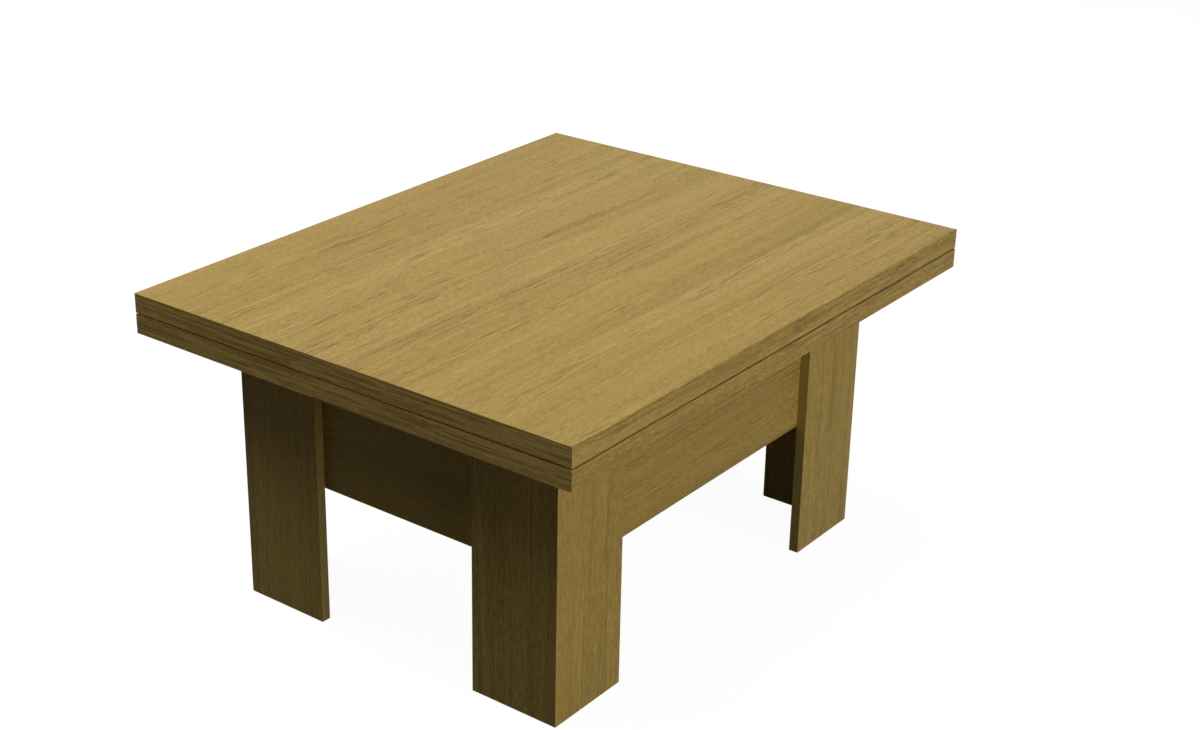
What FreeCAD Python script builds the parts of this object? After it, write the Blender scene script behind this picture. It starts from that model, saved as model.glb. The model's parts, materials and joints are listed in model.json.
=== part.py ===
import FreeCAD, Part
import math
import os
from collections import namedtuple

V = FreeCAD.Vector
X_AXIS = V(1, 0, 0)
Y_AXIS = V(0, 1, 0)
Z_AXIS = V(0, 0, 1)

# An oak-laminate coffee table that rises and unfolds into a dining table.
# Millimetres. The origin is on the floor under the middle of the top.
# X runs across the leaf hinges, Y along them, Z up. The hinges are on the -X edge.

# Outside sizes, measured in the photo
top_width = 800.0
top_length = 1000.0
coffee_height = 507.0
leaf_thickness = 30.7
leaf_gap = 2.0
leg_inset_x = 102.0
leg_inset_y = 106.0
leg_board_width = 150.0
board_thickness = 16.0
apron_height = 220.6

# Edges of the boards
edging_thickness = 2.0
edge_radius = 0.4

# Clearances
running_clearance = 0.05
fixed_clearance = 0.02
seat_clearance = 0.2
rest_pad_thickness = 0.8

# Lift: parallel arms that lie level when lowered
dining_height = 750.0
arm_width = 32.0
arm_thickness = 6.0
plate_thickness = 3.0
plate_rim = 20.0
window_share = 0.25
bracket_to_carrier = 3.0
carrier_to_arm = 2.0
drive_pivot_margin = 50.0
idler_pivot_margin = 27.0
drive_pivot_drop = 25.6
idler_pivot_drop = 45.0
pivot_pin_radius = 5.0
pin_head_radius = 9.0
pin_head_height = 3.0
bush_radius = 7.0
spacer_radius = 10.0
tube_radius = 11.0
tube_wall = 1.5
tube_along_arm = 240.0
carrier_flange_width = 40.0
carrier_flange_drop = 28.0
carrier_end_gap = 4.0
carrier_rail_end = 48.0

# Gas springs: both ends lie at one radius from the drive pivot
strut_radius = 150.0
strut_rest_angle = 77.0
strut_offset = 17.0
stud_radius = 4.0
stud_head_radius = 6.0
stud_head_height = 2.0
eye_radius = 8.0
eye_width = 9.0
eye_neck = 14.0
cylinder_radius = 9.0
cylinder_wall = 1.3
cylinder_floor = 4.0
gland_length = 6.0
rod_radius = 4.0
piston_length = 6.0
piston_floor_gap = 6.0
piston_gland_gap = 3.0

# Leaf hinges: five-knuckle hinges whose pin lies just outside the leaf edge
hinge_count = 3
hinge_spacing = 380.0
hinge_plate_length = 46.0
hinge_plate_width = 60.0
hinge_plate_corner = 4.0
hinge_pin_radius = 1.2
hinge_pin_offset = 0.5
knuckle_radius = 2.2
knuckle_count = 5
knuckle_gap = 0.3
knuckle_room = 0.5
hinge_screw_column = 20.0
hinge_screw_near = 15.5
hinge_screw_far = 34.5

# Felt dots that keep the folded leaves apart at their free edge
bumper_radius = 5.0
bumper_count = 4
bumper_inset = 40.0

# Swinging leaf supports under the hinge edge
support_length = 260.0
support_width = 36.0
support_thickness = 6.0
support_inset = 50.0
support_tip_gap = 24.0
support_spacer = 3.0
support_pad_radius = 13.0
bolt_radius = 4.0
bolt_thread_radius = 3.0
bolt_thread_length = 20.0
bolt_head_radius = 9.0
bolt_head_height = 4.0

# Fasteners: each countersunk screw has a shank radius and a length, and all heads have one form
screw_head_ratio = 1.95
screw_sink_ratio = 1.2
leg_screw_radius = 2.0
leg_screw_length = 28.0
apron_screw_radius = 2.5
apron_screw_length = 50.0
bracket_screw_radius = 2.2
bracket_screw_length = 15.0
bracket_screw_spots = (0.3, 0.7)
carrier_screw_radius = 2.2
carrier_screw_length = 22.0
carrier_screw_count = 5
carrier_screw_edge = 13.0
hinge_screw_radius = 1.6
hinge_screw_length = 18.0
dowel_radius = 4.0
dowel_length = 30.0
dowel_depth = 12.0
dowel_chamfer = 1.0
dowel_rows = 4
fastener_margin = 28.0

# Levels and faces that several pieces share
upper_bottom = coffee_height - leaf_thickness
lower_top = upper_bottom - leaf_gap
lower_bottom = lower_top - leaf_thickness
fold_level = (upper_bottom + lower_top) / 2
leg_top = lower_bottom - seat_clearance - rest_pad_thickness
apron_bottom = leg_top - apron_height
frame_x = top_width / 2 - leg_inset_x
frame_y = top_length / 2 - leg_inset_y
apron_x = frame_x - board_thickness
apron_y = frame_y - board_thickness
inside_x = apron_x - board_thickness
inside_y = apron_y - board_thickness
hinge_edge = -top_width / 2
hinge_pin_x = hinge_edge - hinge_pin_offset
hinge_half = hinge_plate_width / 2
hinge_plate_thickness = knuckle_radius - leaf_gap / 2

# Layers of the lift, counted inwards from the back apron
bracket_y = inside_y - plate_thickness
carrier_y = bracket_y - bracket_to_carrier - plate_thickness
arm_outer_y = carrier_y - carrier_to_arm
arm_inner_y = arm_outer_y - arm_thickness
strut_y = arm_inner_y - strut_offset

# The arms turn through one angle that carries the top both up and half its width across
lift = dining_height - lower_top
shift = top_width / 2
lift_angle = 2 * math.atan(shift / lift)
arm_length = lift / math.sin(lift_angle)
drive_pivot = V(inside_x - drive_pivot_margin, 0, lower_bottom - drive_pivot_drop)
idler_level = drive_pivot.z - idler_pivot_drop
idler_pivot = V(arm_length + idler_pivot_margin - inside_x, 0, idler_level)
drive_carrier_pivot = drive_pivot - X_AXIS * arm_length
idler_carrier_pivot = idler_pivot - X_AXIS * arm_length
strut_arm_end = drive_pivot - X_AXIS * strut_radius
strut_turn = math.radians(strut_rest_angle)
strut_base_end = drive_pivot + V(-math.cos(strut_turn), 0, -math.sin(strut_turn)) * strut_radius
strut_line = strut_arm_end - strut_base_end

support_top = lower_bottom - support_spacer
support_x = hinge_edge + support_inset
support_y = support_tip_gap / 2 + support_width / 2 + support_length

parts = {}


# Helpers
def box(x, y, z):
    """A box between two limits on each axis."""
    return Part.makeBox(x[1] - x[0], y[1] - y[0], z[1] - z[0], V(x[0], y[0], z[0]))


def cylinder(start, direction, radius, length):
    return Part.makeCylinder(radius, length, start, direction)


def ring(start, direction, outer, inner, length):
    return cylinder(start, direction, outer, length).cut(cylinder(start, direction, inner, length))


def at(point, y):
    """A point of the lift's side view, moved to a layer."""
    return V(point.x, y, point.z)


def near(place, level):
    return abs(place - level) < edge_radius / 2


def edges_along(shape, axis, test):
    """Straight edges along an axis whose middle passes a test."""
    chosen = []
    for edge in shape.Edges:
        run = edge.Vertexes[-1].Point - edge.Vertexes[0].Point
        if run.Length > 0 and abs(run.normalize().dot(axis)) > 0.999 and test(edge.CenterOfMass):
            chosen.append(edge)
    return chosen


def rounded_board(x, y, z, axis):
    """A board with its four long edges eased."""
    board = box(x, y, z)
    return board.makeFillet(edge_radius, edges_along(board, axis, lambda middle: True))


def capsule(start, end, radius, normal, thickness):
    """A flat bar with round ends, from one hole's centre to the other's."""
    along = (end - start).normalize()
    side = normal.cross(along) * radius
    tip = along * radius
    outline = Part.Wire([
        Part.LineSegment(start + side, end + side).toShape(),
        Part.Arc(end + side, end + tip, end - side).toShape(),
        Part.LineSegment(end - side, start - side).toShape(),
        Part.Arc(start - side, start - tip, start + side).toShape(),
    ])
    return Part.Face(outline).extrude(normal * thickness)


def rounded_plate(corners, radius, y, thickness):
    """A plate in the lift's side view: a polygon grown by a radius, with arcs at its corners."""
    points = [at(corner, y) for corner in corners]
    depth = Y_AXIS * thickness
    plate = Part.Face(Part.makePolygon(points + points[:1])).extrude(depth)
    for start, end in zip(points, points[1:] + points[:1]):
        plate = plate.fuse(capsule(start, end, radius, Y_AXIS, thickness))
    return plate.removeSplitter()


Screw = namedtuple("Screw", "shank head sink length")


def countersunk(radius, length):
    return Screw(radius, radius * screw_head_ratio, radius * screw_sink_ratio, length)


leg_screw = countersunk(leg_screw_radius, leg_screw_length)
apron_screw = countersunk(apron_screw_radius, apron_screw_length)
bracket_screw = countersunk(bracket_screw_radius, bracket_screw_length)
carrier_screw = countersunk(carrier_screw_radius, carrier_screw_length)
hinge_screw = countersunk(hinge_screw_radius, hinge_screw_length)


def screw(kind, point, direction, grow=0.0):
    """A countersunk screw whose head is flush at the point. A hole for it is grown a little."""
    head = Part.makeCone(kind.head + grow, kind.shank + grow, kind.sink, point, direction)
    shank = cylinder(point, direction, kind.shank + grow, kind.length + grow)
    return head.fuse(shank).removeSplitter()


def cut_screws(shape, kind, places):
    holes = [screw(kind, point, direction, running_clearance) for point, direction in places]
    return shape.cut(Part.makeCompound(holes))


def screw_group(kind, places):
    return Part.makeCompound([screw(kind, point, direction) for point, direction in places])


def to_front(shape):
    """The mirror image of a back piece."""
    return shape.mirror(V(0, 0, 0), Y_AXIS)


def both_sides(shape):
    return Part.makeCompound([shape, to_front(shape)])


def mirrored(places, flip):
    """Points and directions, with each axis turned over where flip says so."""
    turned = []
    for point, way in places:
        new_point = V(point.x * flip[0], point.y * flip[1], point.z)
        turned.append((new_point, V(way.x * flip[0], way.y * flip[1], way.z)))
    return turned


# Legs and aprons
corner_signs = {"front_left": (-1, -1), "front_right": (1, -1), "back_right": (1, 1), "back_left": (-1, 1)}
apron_rows = [apron_bottom + fastener_margin, leg_top - 2 * fastener_margin]
confirm_rows = [apron_bottom + fastener_margin, (apron_bottom + leg_top) / 2, leg_top - fastener_margin]
dowel_step = (leg_top - 2 * fastener_margin) / (dowel_rows - 1)
dowel_levels = [fastener_margin + row * dowel_step for row in range(dowel_rows)]
board_middle = board_thickness / 2

# Fasteners of the back right corner; the other corners are its mirror images
side_columns = [frame_y - leg_board_width + fastener_margin, inside_y - fastener_margin]
face_columns = [frame_x - leg_board_width + fastener_margin, inside_x - 2 * fastener_margin]
corner_side_screws = [(V(inside_x, y, z), X_AXIS) for y in side_columns for z in apron_rows]
corner_face_screws = [(V(x, inside_y, z), Y_AXIS) for x in face_columns for z in apron_rows]
corner_apron_screws = [(V(apron_x, apron_y - board_middle, z), -X_AXIS) for z in confirm_rows]
corner_dowels = [V(apron_x + dowel_depth - dowel_length, frame_y - board_middle, z) for z in dowel_levels]


def dowel(point, sign):
    peg = cylinder(point, X_AXIS * sign, dowel_radius, dowel_length)
    rims = [edge for edge in peg.Edges if isinstance(edge.Curve, Part.Circle)]
    return peg.makeChamfer(dowel_chamfer, rims)


def limits(sign, near, far):
    """The two limits of a piece that sits on one side of the middle."""
    return sorted((sign * near, sign * far))


leg_screws, apron_screws, dowels = [], [], []
apron_levels = (apron_bottom, leg_top)
side_run = (-apron_y, apron_y)
end_run = (-inside_x, inside_x)
aprons = {
    "left_apron": rounded_board((-apron_x, -inside_x), side_run, apron_levels, Y_AXIS),
    "right_apron": rounded_board((inside_x, apron_x), side_run, apron_levels, Y_AXIS),
    "front_apron": rounded_board(end_run, (-apron_y, -inside_y), apron_levels, X_AXIS),
    "back_apron": rounded_board(end_run, (inside_y, apron_y), apron_levels, X_AXIS),
}
for corner, (sx, sy) in corner_signs.items():
    side_board = rounded_board(
        limits(sx, apron_x, frame_x), limits(sy, frame_y - leg_board_width, frame_y), (0, leg_top), Z_AXIS)
    face_board = rounded_board(
        limits(sx, frame_x - leg_board_width, apron_x), limits(sy, apron_y, frame_y), (0, leg_top), Z_AXIS)
    side_screws = mirrored(corner_side_screws, (sx, sy))
    face_screws = mirrored(corner_face_screws, (sx, sy))
    long_screws = mirrored(corner_apron_screws, (sx, sy))
    pegs = [V(point.x * sx, point.y * sy, point.z) for point in corner_dowels]
    holes = []
    for peg in pegs:
        start = peg - X_AXIS * sx * seat_clearance
        room = dowel_length + 2 * seat_clearance
        holes.append(cylinder(start, X_AXIS * sx, dowel_radius + running_clearance, room))
    drilled = Part.makeCompound(holes)
    parts[corner + "_leg_side_board"] = cut_screws(side_board.cut(drilled), leg_screw, side_screws)
    parts[corner + "_leg_face_board"] = cut_screws(face_board.cut(drilled), leg_screw, face_screws)
    end = corner.split("_")[0] + "_apron"
    side = corner.split("_")[1] + "_apron"
    aprons[side] = cut_screws(cut_screws(aprons[side], leg_screw, side_screws), apron_screw, long_screws)
    aprons[end] = cut_screws(cut_screws(aprons[end], leg_screw, face_screws), apron_screw, long_screws)
    leg_screws += side_screws + face_screws
    apron_screws += long_screws
    dowels += [dowel(peg, sx) for peg in pegs]
parts["leg_dowels"] = Part.makeCompound(dowels)
parts["leg_screws"] = screw_group(leg_screw, leg_screws)
parts["apron_screws"] = screw_group(apron_screw, apron_screws)

pads = []
for sx, sy in corner_signs.values():
    on_side = V(sx * (frame_x - board_middle), sy * (frame_y - leg_board_width / 2), leg_top)
    on_face = V(sx * (frame_x - leg_board_width / 2), sy * (frame_y - board_middle), leg_top)
    for spot in (on_side, on_face):
        pads.append(cylinder(spot, Z_AXIS, board_middle - 2 * edge_radius, rest_pad_thickness))
parts["rest_pads"] = Part.makeCompound(pads)

# Base brackets: one plate for both base pivots and the gas spring's stud
corners = [drive_pivot, idler_pivot, strut_base_end]
middle = (drive_pivot + idler_pivot + strut_base_end) * (1 / len(corners))
bracket = rounded_plate(corners, plate_rim, bracket_y, plate_thickness)
window = [middle + (corner - middle) * window_share for corner in corners]
bracket = bracket.cut(rounded_plate(window, plate_rim / 2, bracket_y, plate_thickness))
for point, radius in zip(corners, (pivot_pin_radius, pivot_pin_radius, stud_radius)):
    bracket = bracket.cut(cylinder(at(point, bracket_y), Y_AXIS, radius + fixed_clearance, plate_thickness))
bracket_screws = []
for start, end in zip(corners, corners[1:] + corners[:1]):
    for part_way in bracket_screw_spots:
        bracket_screws.append((at(start + (end - start) * part_way, bracket_y), Y_AXIS))
bracket = cut_screws(bracket, bracket_screw, bracket_screws)
parts["back_base_bracket"] = bracket
parts["front_base_bracket"] = to_front(bracket)
aprons["back_apron"] = cut_screws(aprons["back_apron"], bracket_screw, bracket_screws)
aprons["front_apron"] = cut_screws(aprons["front_apron"], bracket_screw, mirrored(bracket_screws, (1, -1)))
parts["base_bracket_screws"] = both_sides(screw_group(bracket_screw, bracket_screws))
parts.update(aprons)


# Pivot pins: a shank through a plate and an arm, with a head inside the arm
def pivot_pin(point, outer_y):
    head_y = arm_inner_y - seat_clearance
    shank = cylinder(at(point, head_y), Y_AXIS, pivot_pin_radius, outer_y - head_y)
    head = cylinder(at(point, head_y - pin_head_height), Y_AXIS, pin_head_radius, pin_head_height)
    rim = [edge for edge in head.Edges if edge.CenterOfMass.y < head_y - pin_head_height / 2 and edge.Closed]
    return head.makeChamfer(edge_radius, rim).fuse(shank).removeSplitter()


def spacer(point, plate_y):
    """A washer against a plate, a running gap short of the arm."""
    start = at(point, arm_outer_y + seat_clearance)
    bore = pivot_pin_radius + running_clearance
    return ring(start, Y_AXIS, spacer_radius, bore, plate_y - arm_outer_y - seat_clearance)


def paired(make, points, plate_y):
    """A group of pieces at each pivot, at the back and mirrored at the front."""
    return both_sides(Part.makeCompound([make(point, plate_y) for point in points]))


base_pivots = (drive_pivot, idler_pivot)
carrier_pivots = (drive_carrier_pivot, idler_carrier_pivot)
parts["base_pivot_pins"] = paired(pivot_pin, base_pivots, inside_y)
parts["base_pivot_spacers"] = paired(spacer, base_pivots, bracket_y)
parts["carrier_pivot_pins"] = paired(pivot_pin, carrier_pivots, carrier_y + plate_thickness)
parts["carrier_pivot_spacers"] = paired(spacer, carrier_pivots, carrier_y)


# Arms, their bushes and the tubes across them
def bush(point, outer_y):
    bore = pivot_pin_radius + running_clearance
    return ring(at(point, arm_inner_y), Y_AXIS, bush_radius, bore, outer_y - arm_inner_y)


def arm(base_pivot, carrier_pivot):
    ends = [at(base_pivot, arm_inner_y), at(carrier_pivot, arm_inner_y)]
    bar = capsule(ends[0], ends[1], arm_width / 2, Y_AXIS, arm_thickness)
    for point in ends:
        bar = bar.cut(cylinder(point, Y_AXIS, bush_radius + fixed_clearance, arm_thickness))
    return bar


def cross_tube(base_pivot):
    start = at(base_pivot - X_AXIS * tube_along_arm, -arm_inner_y)
    return ring(start, Y_AXIS, tube_radius, tube_radius - tube_wall, 2 * arm_inner_y)


stud_hole = cylinder(at(strut_arm_end, arm_inner_y), Y_AXIS, stud_radius + fixed_clearance, arm_thickness)
drive_arm = arm(drive_pivot, drive_carrier_pivot).cut(stud_hole)
idler_arm = arm(idler_pivot, idler_carrier_pivot)
parts["back_drive_arm"] = drive_arm
parts["front_drive_arm"] = to_front(drive_arm)
parts["back_idler_arm"] = idler_arm
parts["front_idler_arm"] = to_front(idler_arm)
parts["drive_cross_tube"] = cross_tube(drive_pivot)
parts["idler_cross_tube"] = cross_tube(idler_pivot)
parts["drive_arm_bushes"] = paired(bush, (drive_pivot, drive_carrier_pivot), arm_outer_y)
parts["idler_arm_bushes"] = paired(bush, (idler_pivot, idler_carrier_pivot), arm_outer_y)

# Carrier brackets: angles screwed under the lower leaf, with an ear for the arms' upper pivots
carrier_back = carrier_y + plate_thickness
flange_front = carrier_back - carrier_flange_width
rail_start = carrier_end_gap - inside_x
flange_bottom = lower_bottom - plate_thickness
flange = box((rail_start, -rail_start), (flange_front, carrier_back), (flange_bottom, lower_bottom))
rail_end = drive_pivot.x - carrier_rail_end
rail_bottom = lower_bottom - carrier_flange_drop
rail = box((rail_start, rail_end), (carrier_y, carrier_back), (rail_bottom, lower_bottom))
angle = flange.fuse(rail).removeSplitter()


def on_bend(point):
    return near(point.y, carrier_back) and near(point.z, lower_bottom)


bend = edges_along(angle, X_AXIS, on_bend)
angle = angle.makeFillet(plate_thickness - edge_radius, bend)
ear_top = flange_bottom - plate_rim
ear_corners = [
    idler_carrier_pivot,
    drive_carrier_pivot,
    V(drive_carrier_pivot.x, 0, ear_top),
    V(idler_carrier_pivot.x, 0, ear_top),
]
angle = angle.fuse(rounded_plate(ear_corners, plate_rim, carrier_y, plate_thickness)).removeSplitter()
for point in carrier_pivots:
    pin_hole = cylinder(at(point, carrier_y), Y_AXIS, pivot_pin_radius + fixed_clearance, plate_thickness)
    angle = angle.cut(pin_hole)
screw_line = flange_front + carrier_screw_edge
screw_reach = inside_x - carrier_end_gap - fastener_margin
screw_step = 2 * screw_reach / (carrier_screw_count - 1)
screw_row = [row * screw_step - screw_reach for row in range(carrier_screw_count)]
carrier_screws = [(V(x, screw_line, flange_bottom), Z_AXIS) for x in screw_row]
angle = cut_screws(angle, carrier_screw, carrier_screws)
parts["back_carrier_bracket"] = angle
parts["front_carrier_bracket"] = to_front(angle)
parts["carrier_screws"] = both_sides(screw_group(carrier_screw, carrier_screws))


# Gas springs, drawn along X from the base stud and then laid on the strut's line
def laid(shape):
    turn = FreeCAD.Rotation(X_AXIS, strut_line)
    shape.Placement = FreeCAD.Placement(at(strut_base_end, strut_y), turn)
    return shape


def eye(centre, way):
    """A ring for a stud with a neck towards the spring."""
    edge_y = -eye_width / 2
    body = cylinder(V(centre, edge_y, 0), Y_AXIS, eye_radius, eye_width)
    neck = cylinder(V(centre, 0, 0), X_AXIS * way, rod_radius, eye_neck)
    hole = cylinder(V(centre, edge_y, 0), Y_AXIS, stud_radius + running_clearance, eye_width)
    return body.fuse(neck).cut(hole)


def stud(point, outer_y):
    """A stud from a plate or arm through an eye, with a flat head inside it."""
    head_y = strut_y - eye_width / 2 - seat_clearance
    shank = cylinder(at(point, head_y), Y_AXIS, stud_radius, outer_y - head_y)
    head = cylinder(at(point, head_y - stud_head_height), Y_AXIS, stud_head_radius, stud_head_height)
    return shank.fuse(head).removeSplitter()


# The spring is longest where its two ends and the drive pivot lie in one line, or fully raised
strut_length = strut_line.Length
longest_turn = min(strut_turn + lift_angle, math.pi)
stroke = 2 * strut_radius * math.sin(longest_turn / 2) - strut_length
bore_radius = cylinder_radius - cylinder_wall
rod_start = eye_neck + cylinder_floor + piston_floor_gap
rod_end = strut_length - eye_neck
gland_foot = rod_start + piston_length + stroke + piston_gland_gap
tube_end = gland_foot + gland_length
tube_bore = cylinder(V(eye_neck + cylinder_floor, 0, 0), X_AXIS, bore_radius, tube_end)
tube = cylinder(V(eye_neck, 0, 0), X_AXIS, cylinder_radius, tube_end - eye_neck).cut(tube_bore)
rod = cylinder(V(rod_start, 0, 0), X_AXIS, rod_radius, rod_end - rod_start)
piston = cylinder(V(rod_start, 0, 0), X_AXIS, bore_radius - running_clearance, piston_length)
gland_radius = bore_radius - fixed_clearance
gland = ring(V(gland_foot, 0, 0), X_AXIS, gland_radius, rod_radius + running_clearance, gland_length)
parts["gas_spring_cylinders"] = both_sides(laid(tube))
parts["gas_spring_glands"] = both_sides(laid(gland))
parts["gas_spring_rods"] = both_sides(laid(rod.fuse(piston).removeSplitter()))
parts["gas_spring_base_eyes"] = both_sides(laid(eye(0, 1)))
parts["gas_spring_arm_eyes"] = both_sides(laid(eye(strut_length, -1)))
parts["gas_spring_base_studs"] = both_sides(stud(strut_base_end, inside_y))
parts["gas_spring_arm_studs"] = both_sides(stud(strut_arm_end, arm_outer_y))


# Leaf hinges: two plates let into the facing sides of the leaves, their knuckles rolled about one pin
def hinge_blank(centre_y, grow):
    """The flat of a hinge plate, or the recess for it when grown."""
    inner_end = hinge_edge + hinge_plate_length + grow
    half = hinge_half + grow
    levels = (lower_top - hinge_plate_thickness, lower_top)
    blank = box((hinge_pin_x, inner_end), (centre_y - half, centre_y + half), levels)
    ends = edges_along(blank, Z_AXIS, lambda point: near(point.x, inner_end))
    return blank.makeFillet(hinge_plate_corner + grow, ends)


def on_pin(centre_y, radius, start, end):
    """A cylinder about the hinge pin, between two places counted from the hinge's middle."""
    return cylinder(V(hinge_pin_x, centre_y + start, fold_level), Y_AXIS, radius, end - start)


def knuckle(centre_y, row, radius, grow):
    """One knuckle of the barrel, or the room for it when grown."""
    length = hinge_plate_width / knuckle_count
    start = row * length - hinge_half
    return on_pin(centre_y, radius, start - grow, start + length + grow)


def hinge_recess(centre_y):
    reach = hinge_half + seat_clearance
    barrel = on_pin(centre_y, knuckle_radius + knuckle_room, -reach, reach)
    return hinge_blank(centre_y, seat_clearance).fuse(barrel)


def hinge_screw_places(centre_y):
    column = hinge_screw_column
    spots = [(hinge_screw_near, -column), (hinge_screw_far, 0), (hinge_screw_near, column)]
    return [(V(hinge_edge + x, centre_y + y, lower_top), -Z_AXIS) for x, y in spots]


def hinge_plate(centre_y, first, pin_clearance):
    """A plate with every other knuckle of the barrel, counted from the first one it has."""
    plate = hinge_blank(centre_y, 0)
    for row in range(1 - first, knuckle_count, 2):
        plate = plate.cut(knuckle(centre_y, row, knuckle_radius + knuckle_room, knuckle_gap / 2))
    for row in range(first, knuckle_count, 2):
        plate = plate.fuse(knuckle(centre_y, row, knuckle_radius, -knuckle_gap / 2))
    plate = plate.cut(on_pin(centre_y, hinge_pin_radius + pin_clearance, -hinge_half, hinge_half))
    return cut_screws(plate, hinge_screw, hinge_screw_places(centre_y))


def folded(shape):
    """The mirror image in the plane between the folded leaves."""
    return shape.mirror(V(0, 0, fold_level), Z_AXIS)


hinge_rows = [(row - (hinge_count - 1) / 2) * hinge_spacing for row in range(hinge_count)]
hinge_screws = [place for row in hinge_rows for place in hinge_screw_places(row)]
lower_plates = [hinge_plate(row, 0, fixed_clearance) for row in hinge_rows]
upper_plates = [folded(hinge_plate(row, 1, running_clearance)) for row in hinge_rows]
pins = [on_pin(row, hinge_pin_radius, -hinge_half, hinge_half) for row in hinge_rows]
lower_hinge_screws = screw_group(hinge_screw, hinge_screws)
parts["lower_hinge_plates"] = Part.makeCompound(lower_plates)
parts["upper_hinge_plates"] = Part.makeCompound(upper_plates)
parts["hinge_pins"] = Part.makeCompound(pins)
parts["lower_hinge_screws"] = lower_hinge_screws
parts["upper_hinge_screws"] = folded(lower_hinge_screws)

# Leaves and their edging, drawn for the lower leaf; the upper one is its mirror image
core_x = top_width / 2 - edging_thickness
core_y = top_length / 2 - edging_thickness
leaf_levels = (lower_bottom, lower_top)
leaf = box((-core_x, core_x), (-core_y, core_y), leaf_levels)
recesses = Part.makeCompound([hinge_recess(row) for row in hinge_rows])
leaf = cut_screws(leaf.cut(recesses), hinge_screw, hinge_screws)


def edging_strip(x, y, axis, outside):
    """A strip of edging with its two outer edges eased."""
    strip = box(x, y, leaf_levels)
    return strip.makeFillet(edge_radius, edges_along(strip, axis, outside))


half_x = top_width / 2
half_y = top_length / 2
side_strip = (-half_y, half_y)
end_strip = (-core_x, core_x)
strips = [
    edging_strip((-half_x, -core_x), side_strip, Y_AXIS, lambda point: near(point.x, -half_x)),
    edging_strip((core_x, half_x), side_strip, Y_AXIS, lambda point: near(point.x, half_x)),
    edging_strip(end_strip, (-half_y, -core_y), X_AXIS, lambda point: near(point.y, -half_y)),
    edging_strip(end_strip, (core_y, half_y), X_AXIS, lambda point: near(point.y, half_y)),
]
edging = Part.makeCompound([strip.cut(recesses) for strip in strips])
parts["upper_leaf"] = folded(leaf)
parts["upper_leaf_edging"] = folded(edging)
parts["lower_leaf_edging"] = edging

# Felt dots on the lower leaf
bumper_run = top_length - 2 * bumper_inset
bumpers = []
for count in range(bumper_count):
    bumper_y = bumper_run * (count / (bumper_count - 1) - 0.5)
    spot = V(half_x - bumper_inset, bumper_y, lower_top)
    bumpers.append(cylinder(spot, Z_AXIS, bumper_radius, leaf_gap - seat_clearance))
parts["leaf_bumpers"] = Part.makeCompound(bumpers)

# Leaf supports: flat bars that swing out from under the hinge edge
support_pivot = V(support_x, support_y, support_top - support_thickness)
support_tip = support_pivot - Y_AXIS * support_length
bar = capsule(support_pivot, support_tip, support_width / 2, Z_AXIS, support_thickness)
bar = bar.cut(cylinder(support_pivot, Z_AXIS, bolt_radius + running_clearance, support_thickness))
spacer_height = support_spacer - seat_clearance
pad = cylinder(V(support_x, support_tip.y, support_top), Z_AXIS, support_pad_radius, spacer_height)
spacer_foot = V(support_x, support_y, support_top + seat_clearance)
bolt_spacer = ring(spacer_foot, Z_AXIS, spacer_radius, bolt_radius + running_clearance, spacer_height)
head_top = support_pivot.z - seat_clearance
bolt_head = cylinder(V(support_x, support_y, head_top), -Z_AXIS, bolt_head_radius, bolt_head_height)
rim_level = head_top - edge_radius
head_rim = [edge for edge in bolt_head.Edges if edge.Closed and edge.CenterOfMass.z < rim_level]
bolt_shoulder = cylinder(V(support_x, support_y, head_top), Z_AXIS, bolt_radius, lower_bottom - head_top)
bolt_start = V(support_x, support_y, lower_bottom)
bolt_thread = cylinder(bolt_start, Z_AXIS, bolt_thread_radius, bolt_thread_length)
bolt = bolt_head.makeChamfer(edge_radius, head_rim).fuse(bolt_shoulder).fuse(bolt_thread).removeSplitter()
hole_depth = bolt_thread_length + seat_clearance
bolt_hole = cylinder(bolt_start, Z_AXIS, bolt_thread_radius + fixed_clearance, hole_depth)
parts["back_leaf_support"] = bar
parts["front_leaf_support"] = to_front(bar)
parts["back_support_pad"] = pad
parts["front_support_pad"] = to_front(pad)
parts["support_spacers"] = both_sides(bolt_spacer)
parts["support_bolts"] = both_sides(bolt)

lower_leaf = cut_screws(leaf, carrier_screw, carrier_screws + mirrored(carrier_screws, (1, -1)))
parts["lower_leaf"] = lower_leaf.cut(both_sides(bolt_hole))

# One file for each named piece
os.makedirs("parts", exist_ok=True)
for name, shape in parts.items():
    shape.exportStep("parts/" + name + ".step")
print("pieces:", len(parts))
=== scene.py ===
# %% [markdown]
# # A low oak table that rises and unfolds
#
# The table is board work: two folded leaves, eight leg boards and four aprons, all faced with oak
# laminate, with a black steel lift hidden between the aprons. The boards and the steel come from
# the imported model, which is loaded as a fixed frame. This lesson gives each of them its finish,
# and adds the small turned, rolled and welded detail that plain solids leave out.

# %% Load the frame
import json
import math

import bmesh
import bpy
from mathutils import Euler, Matrix, Vector


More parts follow.
